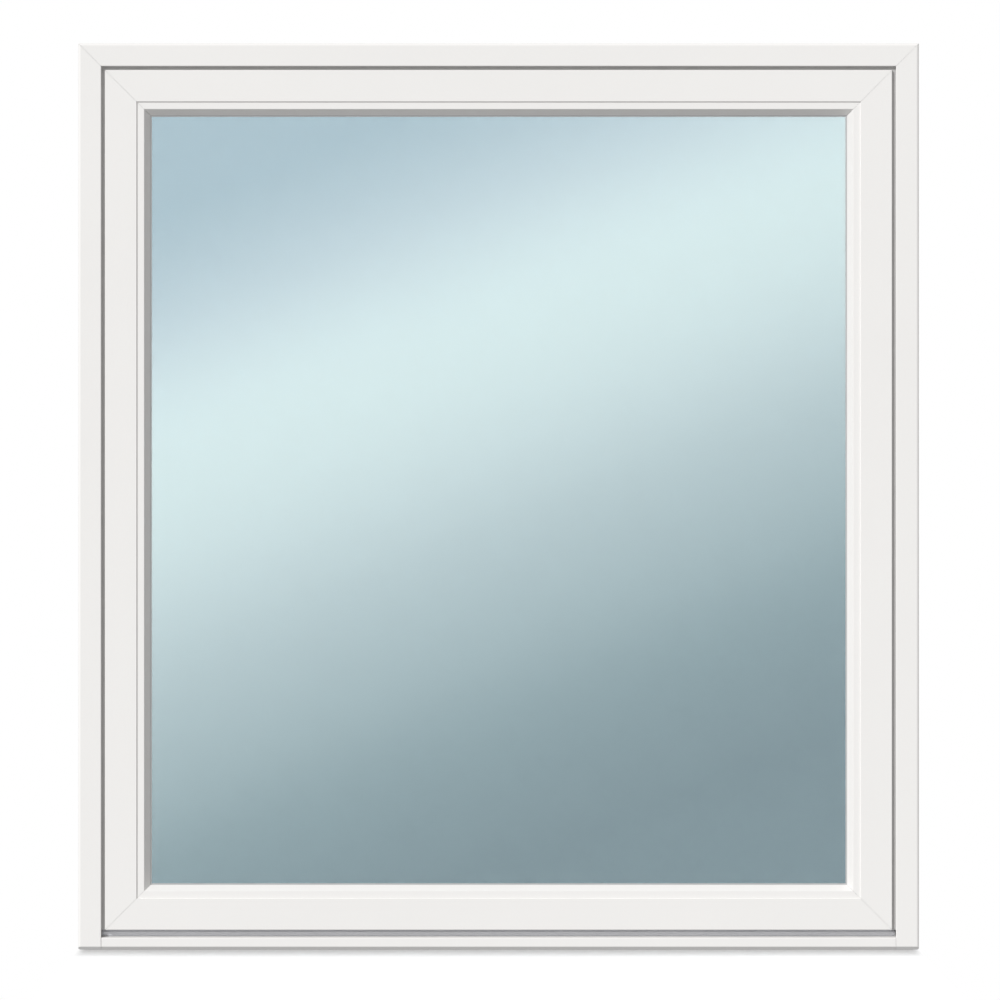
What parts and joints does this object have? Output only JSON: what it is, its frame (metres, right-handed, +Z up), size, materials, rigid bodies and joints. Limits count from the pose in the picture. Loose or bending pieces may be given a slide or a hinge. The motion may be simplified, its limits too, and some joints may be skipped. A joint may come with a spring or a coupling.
{
  "type": "pivot window",
  "caption": "Reversible pivot window: a triple-glazed sash in a deep white timber frame, with mitred aluminium covers and a sloping sill outside and a lever handle on the room side.",
  "frame": {"origin": "middle of the frame's underside, half way through the depth of its timber", "axes": "+X to the right seen from outside, +Y out of the wall into the room, +Z up; the outside face looks along -Y"},
  "size_m": [1.28, 0.131, 1.38],
  "materials": {
    "timber": "satin",
    "cover": "satin",
    "end_cap": "satin",
    "glass": "polished",
    "spacer": "matte",
    "block": "matte",
    "seal": "matte",
    "fitting": "satin",
    "handle": "satin"
  },
  "bodies": {
    "root": {"frame_jamb_left": "timber", "frame_jamb_right": "timber", "frame_head": "timber", "frame_sill": "timber", "frame_cover_left": "cover", "frame_cover_right": "cover", "frame_cover_head": "cover", "sill_cover": "cover", "cover_end_cap_left": "end_cap", "cover_end_cap_right": "end_cap", "sash_stile_left": "timber", "sash_stile_right": "timber", "sash_rail_top": "timber", "sash_rail_bottom": "timber", "sash_cover_left": "cover", "sash_cover_right": "cover", "sash_cover_top": "cover", "sash_cover_bottom": "cover", "sash_drip_bar": "cover", "glass_pane_outer": "glass", "glass_pane_middle": "glass", "glass_pane_inner": "glass", "spacer_outer": "spacer", "spacer_inner": "spacer", "setting_blocks": "block", "glazing_gasket_outer": "seal", "glazing_gasket_inner": "seal", "weather_seal_outer": "seal", "weather_seal_inner": "seal", "pivot_track_left": "fitting", "pivot_track_right": "fitting", "pivot_arm_left": "fitting", "pivot_arm_right": "fitting", "pivot_shoe_left": "block", "pivot_shoe_right": "block", "handle_rose": "handle", "handle_lever": "handle", "handle_screws": "fitting"}
  },
  "joints": []
}
